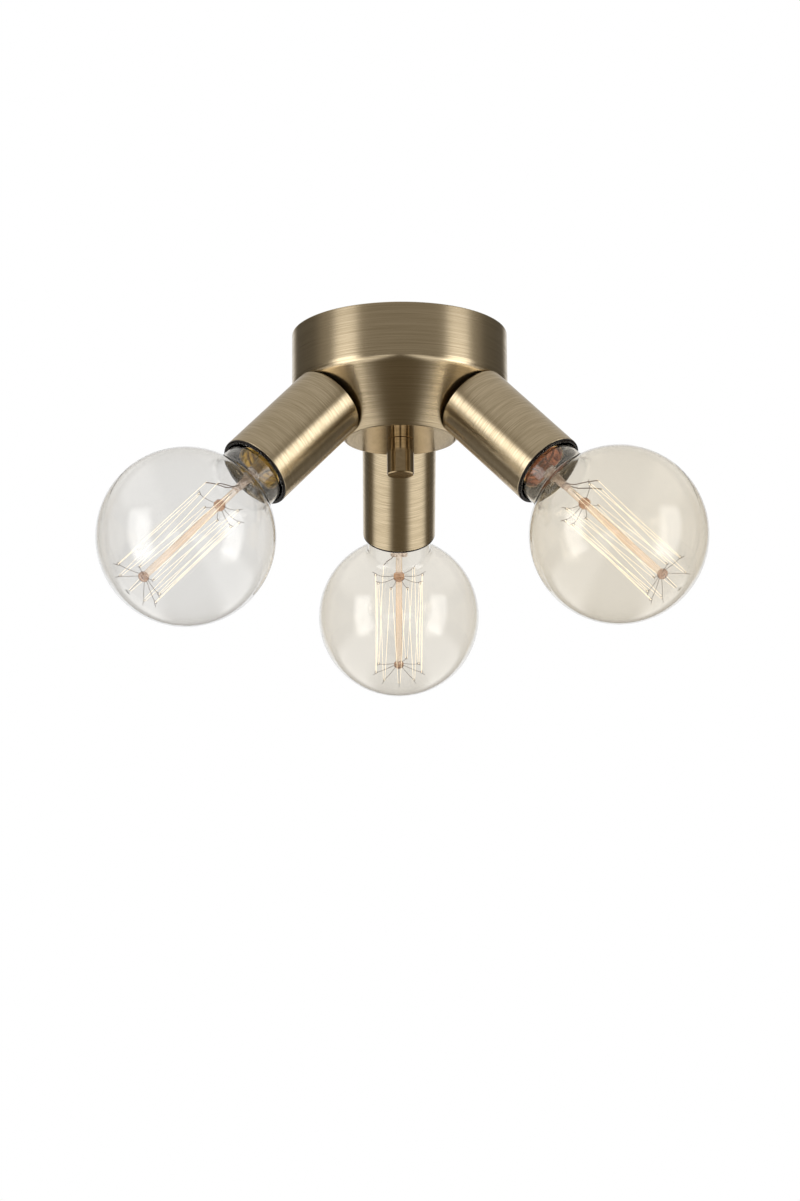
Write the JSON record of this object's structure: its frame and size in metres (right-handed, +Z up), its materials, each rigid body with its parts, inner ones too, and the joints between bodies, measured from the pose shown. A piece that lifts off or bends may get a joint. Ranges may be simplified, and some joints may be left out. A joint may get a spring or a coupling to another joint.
{
  "type": "semi flush ceiling light",
  "caption": "Semi flush ceiling light: round metal canopy, short sleeves angled down and outwards, each with a clear globe lamp and a visible filament.",
  "frame": {"origin": "centre of the canopy's rim and of the mounting bar, in the plane of the ceiling", "axes": "+Z up, square to the ceiling, so that the light hangs below the origin; +Y is the direction that the rear lamp points in; the mounting bar lies along X"},
  "size_m": [0.3228, 0.2923, 0.179],
  "materials": {
    "antique_brass": "brushed antique brass under clear lacquer",
    "zinc_steel": "zinc plated steel",
    "black_phenolic": "black moulded phenolic, glossy",
    "insert_ceramic": "cream steatite ceramic, matt",
    "holder_brass": "bright rolled brass",
    "contact_bronze": "phosphor bronze strip",
    "clear_glass": "clear blown glass",
    "stem_glass": "clear pressed glass",
    "cap_brass": "rolled brass lamp cap",
    "cap_insulator": "black vitrite",
    "solder": "tin solder",
    "support_wire": "nickel and molybdenum wire",
    "filament": "carbonised filament, lit",
    "block_nylon": "natural polyamide",
    "brown_wire": "brown insulation",
    "blue_wire": "blue insulation",
    "earth_wire": "green and yellow insulation"
  },
  "bodies": {
    "mounting": {"mounting_bar": "zinc_steel", "centre_rod": "zinc_steel", "rod_nuts": "zinc_steel", "earth_screw": "zinc_steel"},
    "finial": {"finial": "antique_brass"},
    "left_lamp_carrier": {"left_bulb_contact": "solder"},
    "left_lamp": {"left_bulb_glass": "clear_glass", "left_bulb_cap": "cap_brass", "left_bulb_insulator": "cap_insulator", "left_bulb_stem": "stem_glass", "left_bulb_supports": "support_wire", "left_bulb_filament": "filament"},
    "right_lamp_carrier": {"right_bulb_contact": "solder"},
    "right_lamp": {"right_bulb_glass": "clear_glass", "right_bulb_cap": "cap_brass", "right_bulb_insulator": "cap_insulator", "right_bulb_stem": "stem_glass", "right_bulb_supports": "support_wire", "right_bulb_filament": "filament"},
    "rear_lamp_carrier": {"rear_bulb_contact": "solder"},
    "rear_lamp": {"rear_bulb_glass": "clear_glass", "rear_bulb_cap": "cap_brass", "rear_bulb_insulator": "cap_insulator", "rear_bulb_stem": "stem_glass", "rear_bulb_supports": "support_wire", "rear_bulb_filament": "filament"},
    "canopy": {"canopy_shell": "antique_brass", "nipple_nuts": "zinc_steel", "nipple_washers": "zinc_steel", "earth_tag": "zinc_steel", "terminal_block": "block_nylon", "terminal_tubes": "holder_brass", "terminal_screws": "zinc_steel", "brown_wires": "brown_wire", "blue_wires": "blue_wire", "earth_wire": "earth_wire", "left_sleeve": "antique_brass", "left_nipple": "zinc_steel", "left_holder_cap": "black_phenolic", "left_holder_body": "black_phenolic", "left_holder_insert": "insert_ceramic", "left_holder_shell": "holder_brass", "left_holder_contact": "contact_bronze", "right_sleeve": "antique_brass", "right_nipple": "zinc_steel", "right_holder_cap": "black_phenolic", "right_holder_body": "black_phenolic", "right_holder_insert": "insert_ceramic", "right_holder_shell": "holder_brass", "right_holder_contact": "contact_bronze", "rear_sleeve": "antique_brass", "rear_nipple": "zinc_steel", "rear_holder_cap": "black_phenolic", "rear_holder_body": "black_phenolic", "rear_holder_insert": "insert_ceramic", "rear_holder_shell": "holder_brass", "rear_holder_contact": "contact_bronze"}
  },
  "joints": [
    {"name": "canopy_lower", "type": "slide", "parent": "mounting", "child": "canopy", "axis": [0, 0, -1], "range_m": [0, 0.012]},
    {"name": "finial_turn", "type": "hinge", "parent": "canopy", "child": "finial", "pos_m": [0, 0, -0.0705], "axis": [0, 0, -1], "range_deg": [0, 4320]},
    {"name": "left_lamp_travel", "type": "slide", "parent": "canopy", "child": "left_lamp_carrier", "axis": [-0.6124, -0.3536, -0.7071], "range_m": [0, 0.0182]},
    {"name": "left_lamp_turn", "type": "hinge", "parent": "left_lamp_carrier", "child": "left_lamp", "pos_m": [-0.0394, -0.02275, -0.0455], "axis": [-0.6124, -0.3536, -0.7071], "range_deg": [0, 1800]},
    {"name": "right_lamp_travel", "type": "slide", "parent": "canopy", "child": "right_lamp_carrier", "axis": [0.6124, -0.3536, -0.7071], "range_m": [0, 0.0182]},
    {"name": "right_lamp_turn", "type": "hinge", "parent": "right_lamp_carrier", "child": "right_lamp", "pos_m": [0.0394, -0.02275, -0.0455], "axis": [0.6124, -0.3536, -0.7071], "range_deg": [0, 1800]},
    {"name": "rear_lamp_travel", "type": "slide", "parent": "canopy", "child": "rear_lamp_carrier", "axis": [0, 0.7071, -0.7071], "range_m": [0, 0.0182]},
    {"name": "rear_lamp_turn", "type": "hinge", "parent": "rear_lamp_carrier", "child": "rear_lamp", "pos_m": [0, 0.0455, -0.0455], "axis": [0, 0.7071, -0.7071], "range_deg": [0, 1800]}
  ],
  "couplings": [
    {"joint": "finial_turn", "follows": "canopy_lower", "rad_per_m": 6283.2},
    {"joint": "left_lamp_travel", "follows": "left_lamp_turn", "m_per_rad": 0.00057757},
    {"joint": "right_lamp_travel", "follows": "right_lamp_turn", "m_per_rad": 0.00057757},
    {"joint": "rear_lamp_travel", "follows": "rear_lamp_turn", "m_per_rad": 0.00057757}
  ]
}
